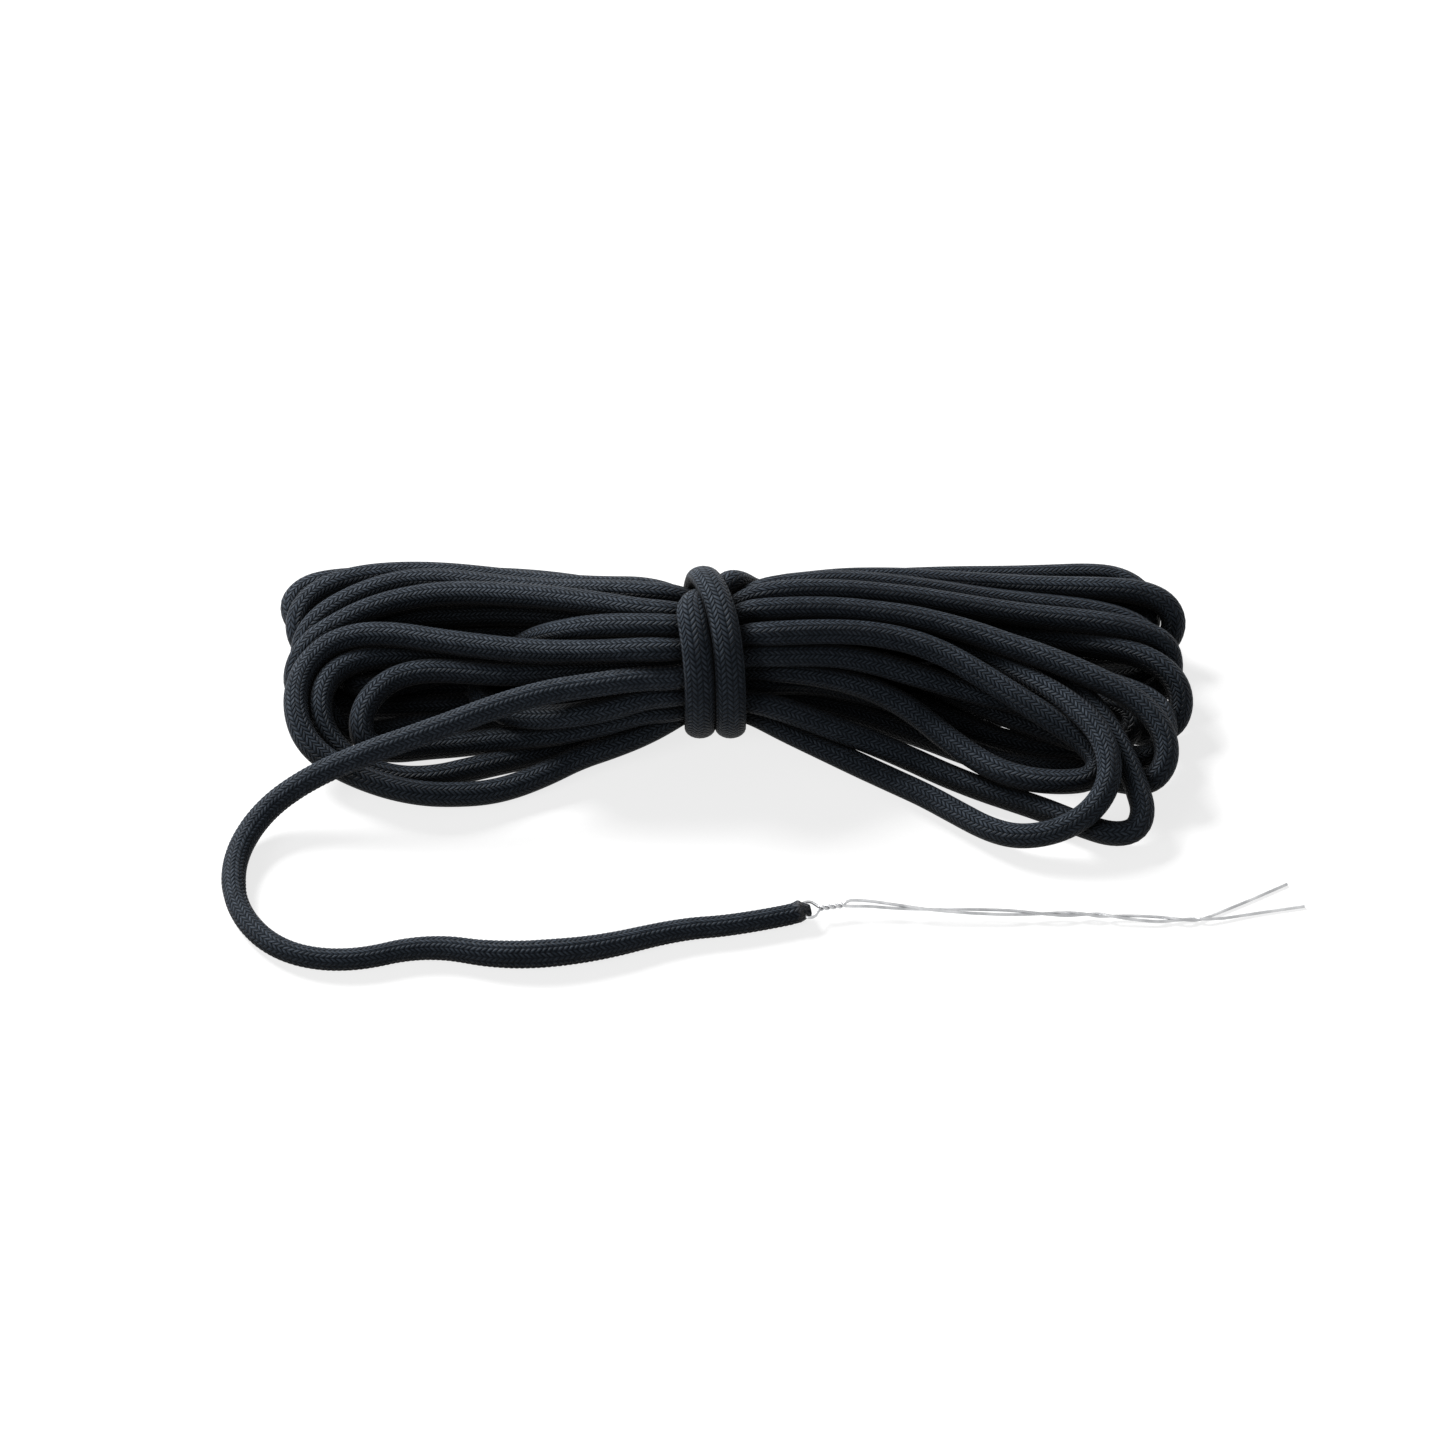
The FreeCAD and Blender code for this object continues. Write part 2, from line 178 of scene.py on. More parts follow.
leftTurns = {
    "inner": [
        (645, 668, 23), (594, 669, 20), (546, 672, 17), (504, 674, 14.5), (462, 671, 13),
        (426, 670, 12), (396, 677, 11), (373, 694, 10), (361, 715, 8.5), (360, 737, 6.5),
        (372, 750, 4.5), (396, 753, 3), (426, 750, 2.5), (462, 748, 2.7), (498, 744, 3.5),
        (534, 741, 5), (570, 735, 6.8), (606, 727, 9), (645, 715, 11.5),
    ],
    "front": [
        (645, 650, 26.5), (594, 653, 23), (540, 653, 20), (486, 648, 17.5), (438, 642, 15.5),
        (399, 636, 14.5), (363, 635, 13.5), (331, 644, 12.5), (307, 665, 11.5),
        (296, 691, 10.5), (297, 718, 9), (307, 741, 7), (326, 759, 5), (354, 774, 4),
        (389, 787, 3.4), (424, 794, 3.3), (455, 795, 3.3), (485, 793.5, 3.1), (513, 787.5, 3.1),
        (546, 775, 4), (579, 759, 5.3), (612, 749, 6.5), (645, 737, 7.8),
    ],
    "fifth": [
        (645, 620, 24), (594, 617, 20.5), (540, 614, 17.5), (498, 614, 15), (456, 617, 13),
        (414, 620, 12), (378, 629, 10.5), (348, 643, 9), (327, 661, 7.5), (315, 685, 5.5),
        (319, 712, 3.5), (341, 737, 2.5), (377, 736, 2.5), (420, 727, 2.5), (465, 725, 3),
        (510, 719, 5.5), (549, 713, 9.5), (594, 704, 14), (645, 690, 18.5),
    ],
    "second": [
        (645, 662, 22), (594, 662, 18.5), (540, 660, 15.5), (486, 662, 13), (438, 658, 11.5),
        (396, 655, 11), (360, 659, 10.5), (334, 671, 10), (321, 691, 9.2), (319, 713, 8),
        (327, 736, 6), (346, 757, 4), (375, 772, 2.8), (405, 778, 2.5), (438, 776, 2.5),
        (471, 768, 2.5), (507, 760.5, 2.7), (540, 754.5, 3.5), (573, 748, 5), (606, 740, 6.5),
        (645, 727, 8.5),
    ],
    "short": [
        (645, 625, 29), (600, 626, 27), (564, 632, 23.5), (536, 639, 18), (516, 650, 12.5),
        (498, 662, 9), (485, 674, 7), (477, 687, 5.8), (479, 700, 5.2), (494, 711, 5.2),
        (514, 718, 6), (537, 721, 7.8), (566, 720, 10.5), (609, 714, 13), (645, 703, 15.5),
    ],
    "fourth": [
        (645, 604, 30), (600, 599, 28), (555, 595, 24.5), (510, 593, 21), (468, 592, 18.5),
        (432, 595, 16.5), (399, 602, 15), (369, 613, 14), (342, 629, 12.5), (319, 647, 10.5),
        (307, 670, 8), (305, 691, 5), (318, 709, 3), (348, 713, 2.5), (390, 712, 2.5),
        (438, 709, 2.5), (486, 706, 3.5), (531, 700, 6), (570, 694, 9), (645, 682, 13),
    ],
    "third": [
        (645, 588, 27), (603, 588, 25), (564, 590, 22.5), (522, 588, 20.5), (480, 584, 19),
        (444, 580, 17.5), (408, 581, 16), (375, 589, 15), (345, 602, 14), (321, 617, 12.5),
        (305, 637, 10.5), (301, 658, 8), (307, 677, 5), (327, 692, 2.8), (360, 694, 2.5),
        (405, 691, 2.5), (456, 688, 2.5), (510, 685, 3.5), (555, 680, 5.5), (600, 674, 8),
        (645, 668, 10),
    ],
    "upper": [
        (645, 585, 22), (603, 586, 20), (564, 585, 18), (525, 582, 16.5), (486, 578, 15.5),
        (450, 575, 14.5), (414, 574, 13.5), (375, 576, 12.5), (343, 582, 11.5), (316, 594, 10),
        (300, 612, 8.5), (297, 632, 6.5), (307, 652, 4), (330, 665, 2.5), (366, 670, 2.5),
        (414, 668, 2.5), (462, 665, 2.5), (510, 662, 3), (555, 659, 4.5), (600, 656, 6.5),
        (645, 652, 8),
    ],
    "back": [
        (645, 598, 16), (600, 596, 14), (555, 593, 12), (510, 590, 10), (462, 587, 9),
        (414, 585, 8.2), (372, 583, 7.8), (336, 583, 7.4), (307, 588, 6.8), (290, 604, 5.6),
        (296, 624, 4), (315, 640, 2.6), (351, 646, 2.5), (396, 647, 2.5), (450, 645, 2.5),
        (504, 642, 2.8), (555, 640, 4), (600, 638, 5.5), (645, 635, 7),
    ],
    "hidden": [
        (645, 614, 12), (600, 611, 10.5), (555, 608, 9.5), (510, 605, 9), (465, 602, 8.8),
        (420, 599, 8.8), (384, 598, 8.6), (352, 602, 7.8), (334, 613, 6), (338, 626, 3.8),
        (364, 631, 2.6), (404, 630, 2.5), (450, 627, 2.5), (510, 624, 2.8), (564, 622, 4),
        (606, 622, 5), (645, 622, 6.5),
    ],
    "core": [
        (645, 631, 16), (600, 631, 14), (555, 632, 12), (510, 634, 10), (465, 637, 8.6),
        (420, 640, 8), (384, 645, 8), (354, 656, 7.8), (338, 672, 7.4), (348, 687, 7),
        (380, 690, 7), (420, 683, 7.2), (462, 674, 7.5), (504, 667, 7.5), (546, 662, 8.5),
        (594, 655, 10), (645, 650, 12),
    ],
}


# The tie and the way through it

waist = {
    "centre": (21.2, 17.6),  # y and z of the hank's middle line under the tie
    "middle": -9.4,          # the rest are places along the hank
    "leftEdge": -15.8,
    "rightEdge": -3.0,
    "bundle": 10.3,          # most that a strand lies out from the middle line, under the tie
    "edgeBundle": 13.0,      # the same at the wraps' edges
}
tie = {
    # place along the hank, degrees round the waist, distance from its middle line
    "firstWrap": [
        (-5.6, 262, 13.6), (-6.0, 240, 15.0), (-6.2, 215, 15.1), (-6.3, 190, 15.1),
        (-6.3, 165, 15.1), (-6.2, 140, 15.1), (-6.3, 115, 15.1), (-6.7, 90, 15.1),
        (-7.6, 66, 15.2), (-9.0, 44, 15.5), (-10.8, 22, 15.8), (-11.9, 0, 15.7),
        (-12.6, -24, 15.3), (-13.0, -50, 15.1),
    ],
    "secondWrap": [
        (-13.0, -75, 15.1), (-12.8, -100, 15.1), (-12.6, -125, 15.1), (-12.4, -150, 15.1),
        (-12.4, -175, 15.1), (-12.4, -200, 15.1), (-12.3, -225, 15.1), (-12.4, -250, 15.1),
        (-12.9, -272, 15.1), (-13.7, -293, 15.0), (-14.3, -310, 14.6), (-13.6, -324, 13.4),
        (-11.4, -340, 11.8), (-8.6, -352, 12.0),
    ],
    "tuckedEnd": [
        (-6.6, -357, 14.7), (-4.6, -378, 15.2), (-1.2, -395, 15.2), (4.4, -406, 16.4),
        (10.6, -412, 17.6),
    ],
}


def aroundWaist(x, degrees, radius):
    angle = math.radians(degrees)
    out, near = math.cos(angle), math.sin(angle)
    y, z = waist["centre"]
    across = radius * (out - near) / math.sqrt(2)
    upward = radius * (out + near) / math.sqrt(2)
    return np.array([x, y + across, z + upward])


def gathered(point, x, most):
    # where a strand through point lies once the tie has drawn it in
    centre = np.array([x, *waist["centre"]])
    out = np.array([0, point[1], point[2]]) - centre * [0, 1, 1]
    return centre + out * min(1, most / np.linalg.norm(out))


def throughWaist(before, after):
    fromRight = before[0] > waist["middle"]
    first, last = ("rightEdge", "leftEdge") if fromRight else ("leftEdge", "rightEdge")
    return [
        gathered(before, waist[first], waist["edgeBundle"]),
        gathered((before + after) / 2, waist["middle"], waist["bundle"]),
        gathered(after, waist[last], waist["edgeBundle"]),
    ]


def tieWraps():
    way = tie["firstWrap"] + tie["secondWrap"] + tie["tuckedEnd"]
    return [aroundWaist(*point) for point in way]


def windHank(leadPoint):
    # the cord's points from the middle of the tie to its tucked end, which of them may move
    # while the turns settle, and the first one
    runs = []
    for right, left in zip(rightTurns.values(), [*leftTurns.values(), []]):
        runs += [right, left[::-1]]
    runs = [[fromPhoto(*point) for point in run] for run in runs if run]
    points = throughWaist(leadPoint, runs[0][0])[1:]
    join = points[0]
    for number, run in enumerate(runs):
        points += run
        if number + 1 < len(runs):
            points += throughWaist(run[-1], runs[number + 1][0])
    free = [False] + [True] * (len(points) - 1)
    wraps = tieWraps()
    return np.array(points + wraps), np.array(free + [False] * len(wraps)), join


# Settling: the turns press each other apart until no strand cuts another, and sink onto
# what lies under them. Strands that the photo shows move mostly along its line of sight.

settling = {
    "rounds": 240,
    "samplesPerSpan": 3,
    "neighbours": 5,           # samples no further apart along the cord don't press each other
    "pairRefresh": 8,          # rounds between two searches for strands that may touch
    "searchMargin": 2.5,
    "startWidth": 0.86,        # share of the cord's width at first
    "widening": 0.14,          # and what it gains by half time
    "waistSqueeze": 0.82,      # share of the width that is left under the tie
    "squeezeEnds": (7, 15),    # the squeeze fades out between these distances from the tie
    "gatherFrom": 5,           # from here out the turns may spread,
    "gatherSlope": 1.8,        # this far for each millimetre
    "leastTouch": 0.6,
    "blended": 0.6,            # share of a step that follows the points beside it
    "stepScale": 1.2,
    "sink": 0.012,
    "sinkUntil": 0.8,          # share of the rounds, as is the next
    "homeUntil": 0.75,
    "homeHold": 0.03,
    "hidingReach": 0.4,        # radii across the view within which a strand hides another,
    "hidingLead": 1.5,         # if it is this much nearer to the eye
    "sideways": 0.06,          # how freely a strand that shows moves across the view
    "bendHold": 0.12,
    "tightestBend": 4.8,
    "bendReaches": (1, 2, 3),  # samples on each side over which a bend is read
    "bendPush": 1.5,
}


def splineWeights(count, perSpan):
    # how much each point has to say in each sample of the smooth route
    spans = count - 2
    steps = spans * perSpan
    weights = np.zeros((steps + 1, count))
    for row in range(steps + 1):
        span = min(row // perSpan, spans - 1)
        t = row / perSpan - span
        first = (1 - t) ** 2 * (1.0 if span == 0 else 0.5)
        last = t ** 2 * (1.0 if span == spans - 1 else 0.5)
        weights[row, span] = first
        weights[row, span + 2] = last
        weights[row, span + 1] = 1 - first - last
    return weights


def blendAlong(values, rounds):
    for _ in range(rounds):
        values = values.copy()
        values[1:-1] = 0.25 * values[:-2] + 0.5 * values[1:-1] + 0.25 * values[2:]
    return values


def showing(samples, apart, sight):
    across = np.stack([samples[:, 0], samples @ np.array([0, 1, 1]) / math.sqrt(2)], axis=1)
    depth = samples @ sight
    reach = settling["hidingReach"] * (cordSize["diameter"] / 2)
    seen = np.ones(len(samples))
    for row in range(len(samples)):
        gap = np.hypot(*(across - across[row]).T)
        nearer = depth > depth[row] + settling["hidingLead"]
        if np.any((gap < reach) & nearer & apart[row]):
            seen[row] = 0
    return seen


def ownBends(points):
    # the bend that each point keeps, which is no sharper than the cord allows
    bend = np.zeros_like(points)
    bend[1:-1] = (points[:-2] + points[2:]) / 2 - points[1:-1]
    arms = np.linalg.norm(np.diff(points, axis=0), axis=1)
    most = ((arms[1:] + arms[:-1]) / 2) ** 2 / (2 * settling["tightestBend"])
    size = np.linalg.norm(bend[1:-1], axis=1) + tiny
    bend[1:-1] *= np.minimum(1, most / size)[:, None]
    return bend


def openedBends(samples, reach):
    # pushes that open each bend sharper than the cord allows
    middle = samples[reach:-reach]
    before, after = samples[:-2 * reach], samples[2 * reach:]
    inwards = (before + after) / 2 - middle
    depth = np.linalg.norm(inwards, axis=1) + tiny
    firstArm = np.linalg.norm(middle - before, axis=1)
    secondArm = np.linalg.norm(after - middle, axis=1)
    arm = (firstArm + secondArm) / 2
    excess = np.maximum(depth - arm ** 2 / (2 * settling["tightestBend"]), 0)
    push = inwards / depth[:, None] * excess[:, None] * settling["bendPush"]
    force = np.zeros_like(samples)
    force[reach:-reach] += push
    force[:-2 * reach] -= push / 2
    force[2 * reach:] -= push / 2
    return force


def nearPairs(samples, apart):
    spread = (samples ** 2).sum(axis=1)
    square = spread[:, None] + spread[None, :] - 2 * samples @ samples.T
    near = (square < (cordSize["diameter"] + settling["searchMargin"]) ** 2) & apart
    return np.nonzero(np.triu(near))


def pushedApart(samples, pairs, width):
    ones, others = pairs
    between = samples[ones] - samples[others]
    distance = np.linalg.norm(between, axis=1) + tiny
    overlap = np.maximum(width[ones] + width[others] - distance, 0)
    push = between / distance[:, None] * overlap[:, None] / 2
    touching = (overlap > 0).astype(float)
    force = np.zeros_like(samples)
    count = np.zeros(len(samples))
    np.add.at(force, ones, push)
    np.add.at(force, others, -push)
    np.add.at(count, ones, touching)
    np.add.at(count, others, touching)
    force /= np.sqrt(np.maximum(count, 1))[:, None]
    return force, overlap


def drawnIntoTie(samples, held, fromTie):
    # the tie holds the turns together, less so further out
    out = samples[:, 1:] - waist["centre"]
    far = np.linalg.norm(out, axis=1)
    spread = np.maximum(fromTie - settling["gatherFrom"], 0)
    allowed = waist["bundle"] + settling["gatherSlope"] * spread
    inward = np.where(held, np.maximum(far - allowed, 0) / np.maximum(far, 1), 0)
    return out * inward[:, None]


def settle(hank, hankFree, lead, leadFree):
    rounds, perSpan = settling["rounds"], settling["samplesPerSpan"]
    radius = cordSize["diameter"] / 2
    hankWeights = splineWeights(len(hank), perSpan)
    leadWeights = splineWeights(len(lead), perSpan)
    turns = len(hankWeights)
    points = np.vstack([hank, lead])
    home = points.copy()
    weights = np.zeros((turns + len(leadWeights), len(points)))
    weights[:turns, :len(hank)] = hankWeights
    weights[turns:, len(hank):] = leadWeights
    mobile = np.concatenate([hankFree, leadFree]).astype(float)[:, None]
    held = (weights @ mobile)[:, 0] > 0.5

    sight = photoAxes()[0]
    samples = weights @ points
    order = np.arange(len(samples))
    place = order + len(samples) * (order >= turns)     # the two cords aren't neighbours
    apart = np.abs(place[:, None] - place[None, :]) > settling["neighbours"]
    seen = (weights.T @ showing(samples, apart, sight)) / weights.sum(axis=0)
    sideways = (1 - (1 - settling["sideways"]) * seen)[:, None]
    downwards = np.where(seen[:, None] > 0.5, sight, np.array([0, 0, 1.0]))
    bend = ownBends(points)
    nearEnd, farEnd = settling["squeezeEnds"]
    blended = settling["blended"]

    for number in range(rounds):
        samples = weights @ points
        if number % settling["pairRefresh"] == 0:
            pairs = nearPairs(samples, apart)
        swell = settling["startWidth"] + settling["widening"] * min(1, 2 * number / rounds)
        fromTie = np.abs(samples[:, 0] - waist["middle"])
        squeeze = np.clip((fromTie - nearEnd) / (farEnd - nearEnd), 0, 1)
        least = settling["waistSqueeze"]
        width = radius * swell * (least + (1 - least) * squeeze)
        force, overlap = pushedApart(samples, pairs, width)
        force[:, 2] += np.maximum(radius - samples[:, 2], 0)
        force[:, 1:] -= drawnIntoTie(samples, held, fromTie)
        for reach in settling["bendReaches"]:
            force[:turns] += openedBends(samples[:turns], reach)

        moved = (np.abs(force).sum(axis=1) > 0).astype(float)
        touch = np.maximum(weights.T @ moved, settling["leastTouch"])
        step = (weights.T @ force) / touch[:, None]
        step = (1 - blended) * step + blended * blendAlong(step, 2)
        along = (step @ sight)[:, None] * sight
        step = along + (step - along) * sideways
        if number < settling["sinkUntil"] * rounds:
            step = step - settling["sink"] * downwards
        points = points + settling["stepScale"] * step * mobile
        if number < settling["homeUntil"] * rounds:
            astray = home - points
            astray -= (astray @ sight)[:, None] * sight
            points = points + settling["homeHold"] * astray * mobile
        change = np.zeros_like(points)
        change[1:-1] = (points[:-2] + points[2:]) / 2 - points[1:-1] - bend[1:-1]
        change[len(hank) - 1:len(hank) + 1] = 0
        points = points + settling["bendHold"] * change * mobile

    points[:, 2] += np.maximum(radius - points[:, 2], 0) * mobile[:, 0]
    outside = squeeze[pairs[0]] > 0.9
    print("turns settled, deepest overlap %.2f mm" % overlap[outside].max())
    return points[:len(hank)], points[len(hank):]


# Cords as curves and tubes

def routeCurve(name, points):
    data = bpy.data.curves.new(name, "CURVE")
    data.dimensions = "3D"
    data.resolution_u = 12
    spline = data.splines.new("NURBS")
    spline.points.add(len(points) - 1)
    for slot, point in zip(spline.points, points):
        slot.co = (point[0] * mm, point[1] * mm, point[2] * mm, 1)
    spline.order_u = 3
    spline.use_endpoint_u = True
    curve = bpy.data.objects.new(name, data)
    bpy.context.collection.objects.link(curve)
    bpy.context.view_layer.update()
    line = bpy.data.meshes.new_from_object(curve)
    read = np.array([vertex.co for vertex in line.vertices])
    bpy.data.meshes.remove(line)
    bpy.data.objects.remove(curve)
    return read


def evenly(line, step):
    # the line in even steps, and how far along it each step is
    gaps = np.linalg.norm(np.diff(line, axis=0), axis=1)
    lengths = np.concatenate([[0], np.cumsum(gaps)])
    count = max(2, int(round(lengths[-1] / step)))
    wanted = np.linspace(0, lengths[-1], count + 1)
    places = [np.interp(wanted, lengths, line[:, axis]) for axis in range(3)]
    return np.stack(places, axis=1), wanted


def carriedFrames(line):
    # two directions across the line at each step, carried along without a twist
    tangents = np.gradient(line, axis=0)
    tangents /= np.linalg.norm(tangents, axis=1)[:, None]
    side = np.cross(tangents[0], [0, 0, 1.0])
    side /= np.linalg.norm(side)
    sides = [side]
    for tangent in tangents[1:]:
        side = side - tangent * (side @ tangent)
        side = side / np.linalg.norm(side)
        sides.append(side)
    sides = np.array(sides)
    return sides, np.cross(tangents, sides)


def ringPlaces(line, along, sides, radiusAt, endShape, frames):
    sideways, upwards = frames or carriedFrames(line)
    turn = np.arange(sides + 1) / sides
    angle = turn * 2 * math.pi
    aroundGrid, alongGrid = np.meshgrid(turn, along)
    radius = radiusAt(aroundGrid, alongGrid)
    rings = (
        sideways[:, None, :] * np.cos(angle)[None, :, None]
        + upwards[:, None, :] * np.sin(angle)[None, :, None]
    ) * radius[:, :, None]
    if endShape is not None:
        rings = endShape(line, rings)
    return (line[:, None, :] + rings)[:, :-1, :].reshape(-1, 3)


def cordMesh(name, line, along, sides, radiusAt, endShape=None, frames=None):
    vertices = ringPlaces(line, along, sides, radiusAt, endShape, frames)
    steps = len(line) - 1
    ring = np.arange(steps)[:, None] * sides
    corner = np.arange(sides)[None, :]
    following = (corner + 1) % sides
    faces = np.stack(
        [ring + corner, ring + following, ring + sides + following, ring + sides + corner],
        axis=2,
    ).reshape(-1, 4)
    middle, last = len(vertices), steps * sides
    caps = [(middle, (i + 1) % sides, i) for i in range(sides)]
    caps += [(middle + 1, last + i, last + (i + 1) % sides) for i in range(sides)]
    caps = np.array(caps)

    mesh = bpy.data.meshes.new(name)
    mesh.vertices.add(len(vertices) + 2)
    mesh.vertices.foreach_set("co", np.vstack([vertices, line[0], line[-1]]).ravel())
    mesh.loops.add(faces.size + caps.size)
    mesh.loops.foreach_set("vertex_index", np.concatenate([faces.ravel(), caps.ravel()]))
    mesh.polygons.add(len(faces) + len(caps))
    starts = [np.arange(len(faces)) * 4, faces.size + np.arange(len(caps)) * 3]
    mesh.polygons.foreach_set("loop_start", np.concatenate(starts))

    u, v = np.meshgrid(np.arange(sides + 1) / sides, along)
    u0, u1 = u[:-1, :-1], u[:-1, 1:]
    v0, v1 = v[:-1, :-1], v[1:, :-1]
    quads = np.stack([u0, v0, u1, v0, u1, v1, u0, v1], axis=2).ravel()
    uv = mesh.uv_layers.new(name="Braid")
    uv.data.foreach_set("uv", np.concatenate([quads, np.zeros(caps.size * 2)]))
    smooth = np.ones(len(faces) + len(caps), dtype=bool)
    mesh.polygons.foreach_set("use_smooth", smooth)
    mesh.update()
    mesh.validate()
    piece = bpy.data.objects.new(name, mesh)
    bpy.context.collection.objects.link(piece)
    return piece


def braidRise(around, along):
    # 1 on the crown of a stitch and 0 in the grooves between stitches
    column = around * cordSize["columns"]
    whole = np.floor(column)
    inside = column - whole - 0.5
    way = np.where(whole % 2 == 0, 1.0, -1.0)
    stitch = along / (cordSize["pitch"] * mm) + way * inside * cordSize["slant"] * 2
    stitch = stitch - np.floor(stitch)
    ridge = 1 - cordSize["edgeDrop"] * (2 * inside) ** 4
    return (1 - (2 * stitch - 1) ** 2) * ridge


# The hank: its turns, the two wraps of the tie and the tucked end are one cord

hankCord = {
    "sides": 22,
    "ringStep": 1.05,
    "wrapWidth": 1.24,        # the tie flattens its wraps to this share of the width,
    "wrapThickness": 0.88,    # and this share of the thickness
    "wrapBand": (5, 9),       # full inside the first distance from the tie's middle, none
                              # beyond the second
    "wrapOut": (13.5, 14.5),  # what lies further out than this is a wrap
    "passingBand": (5, 10),
    "passingSqueeze": 0.16,   # and what passes under the wraps is this much thinner
    "blendRounds": 6,
    "cutEnd": (0.97, 0.76),   # the tucked end was melted where it was cut, so it draws in
}


def plainRadius(around, along):
    return np.full(around.shape, cordSize["diameter"] / 2 * mm)


def fadingOut(distance, band):
    full, none = band
    return np.clip(1 - (distance - full) / (none - full), 0, 1)


def pressedWraps(line, rings):
    y, z = waist["centre"]
    out = np.hypot(line[:, 1] - y * mm, line[:, 2] - z * mm) / mm
    fromTie = np.abs(line[:, 0] / mm - waist["middle"])
    first, full = hankCord["wrapOut"]
    press = fadingOut(fromTie, hankCord["wrapBand"]) * np.clip((out - first) / (full - first), 0, 1)
    passing = fadingOut(fromTie, hankCord["passingBand"]) * (1 - press)
    press = blendAlong(press, hankCord["blendRounds"])[:, None]
    passing = blendAlong(passing, hankCord["blendRounds"])[:, None, None]
    rings = rings * (1 - hankCord["passingSqueeze"] * passing)
    rings[:, :, 0] *= 1 + (hankCord["wrapWidth"] - 1) * press
    rings[:, :, 1:] *= (1 + (hankCord["wrapThickness"] - 1) * press)[:, :, None]
    rings[-len(hankCord["cutEnd"]):] *= np.array(hankCord["cutEnd"])[:, None, None]
    return rings


# The free cord: its sheath is slack and pushed together in one place

freeCord = {
    "overHank": [
        (-24.0, 9.2, 22.5), (-33.0, 8.6, 21.4), (-43.0, 7.7, 20.3), (-53.0, 5.0, 18.9),
        (-62.5, 1.7, 17.1), (-70.7, -0.3, 15.0),
    ],
    "toTable": [
        (-77.6, -1.8, 13.2), (-90.2, -4.6, 8.6), (-100.0, -10.4, 4.3), (-105.6, -22.4, 2.5),
        (-104.4, -36.4, 2.5), (-96.2, -47.2, 2.5), (-82.8, -50.4, 2.5), (-66.6, -45.2, 2.5),
        (-51.0, -49.2, 2.5), (-34.0, -47.2, 2.5), (-17.0, -41.0, 2.5), (-5.0, -39.7, 2.5),
        (4.5, -37.0, 2.5),
    ],
    "sides": 64,
    "ringStep": 0.25,
    # photo column, and share of the cord's width there
    "width": [
        (222, 0.94), (300, 0.91), (390, 0.91), (430, 0.96), (470, 1.03), (505, 1.12),
        (550, 1.15), (600, 1.05), (650, 0.95), (710, 0.89), (780, 0.86),
    ],
    "upperRun": -30.0,   # nearer the hank than this, along y, the cord keeps its width
    "widthRounds": 60,
    "relief": 0.2,       # depth of the braid's grooves
    "slackRelief": 6.0,  # how much deeper they get as the sheath widens
}


def freeCordWidth(line):
    columns, shares = zip(*freeCord["width"])
    fromMiddle = (line[:, 0] / mm - photoView["target"][0]) / photoView["mmPerPixel"]
    share = np.interp(fromMiddle + photoView["pixels"] / 2, columns, shares)
    share[line[:, 1] > freeCord["upperRun"] * mm] = 1.0
    return blendAlong(share, freeCord["widthRounds"])


def slackRadius(lineAlong, shares):
    def radius(around, along):
        rise = braidRise(around, along)
        share = np.interp(along[:, 0], lineAlong, shares)[:, None]
        slack = np.clip(share - 1, 0, 1)
        depth = freeCord["relief"] * (1 + freeCord["slackRelief"] * slack)
        return (cordSize["diameter"] / 2 * share - depth * (1 - rise)) * mm

    return radius


# The fused end: the sheath tapers where it was melted, more from below than from above

fusedEnd = {
    "length": 5.2,
    "ringStep": 0.13,
    # distance from its start, and half width above, below and sideways
    "shape": [
        (0, 2.15, 2.15, 2.15), (1.2, 2.2, 2.12, 2.14), (2.0, 2.35, 1.98, 2.1),
        (2.7, 2.75, 1.78, 2.1), (3.0, 2.8, 1.7, 2.05), (3.25, 2.6, 1.64, 1.9),
        (3.6, 2.2, 1.55, 1.7), (4.3, 1.8, 1.42, 1.5), (5.0, 1.5, 1.25, 1.3),
        (5.2, 1.35, 1.15, 1.2),
    ],
    "rim": [(5.26, 0.82), (5.2, 0.6), (5.0, 0.45)],  # it turns in round the core
    "meltFrom": 1.2,
    "meltOver": 2.6,
    "filled": 0.75,     # share of the grooves' depth that the melt fills
    "lumps": 0.13,
    # height, lumps round the cord, turn with each millimetre, start
    "lumpWaves": [(0.6, 5, 2.1, 0.0), (0.5, 9, -3.7, 1.3)],
}


def tipWidths(distance, column):
    steps = [row[0] for row in fusedEnd["shape"]]
    return np.interp(distance, steps, [row[column] for row in fusedEnd["shape"]])


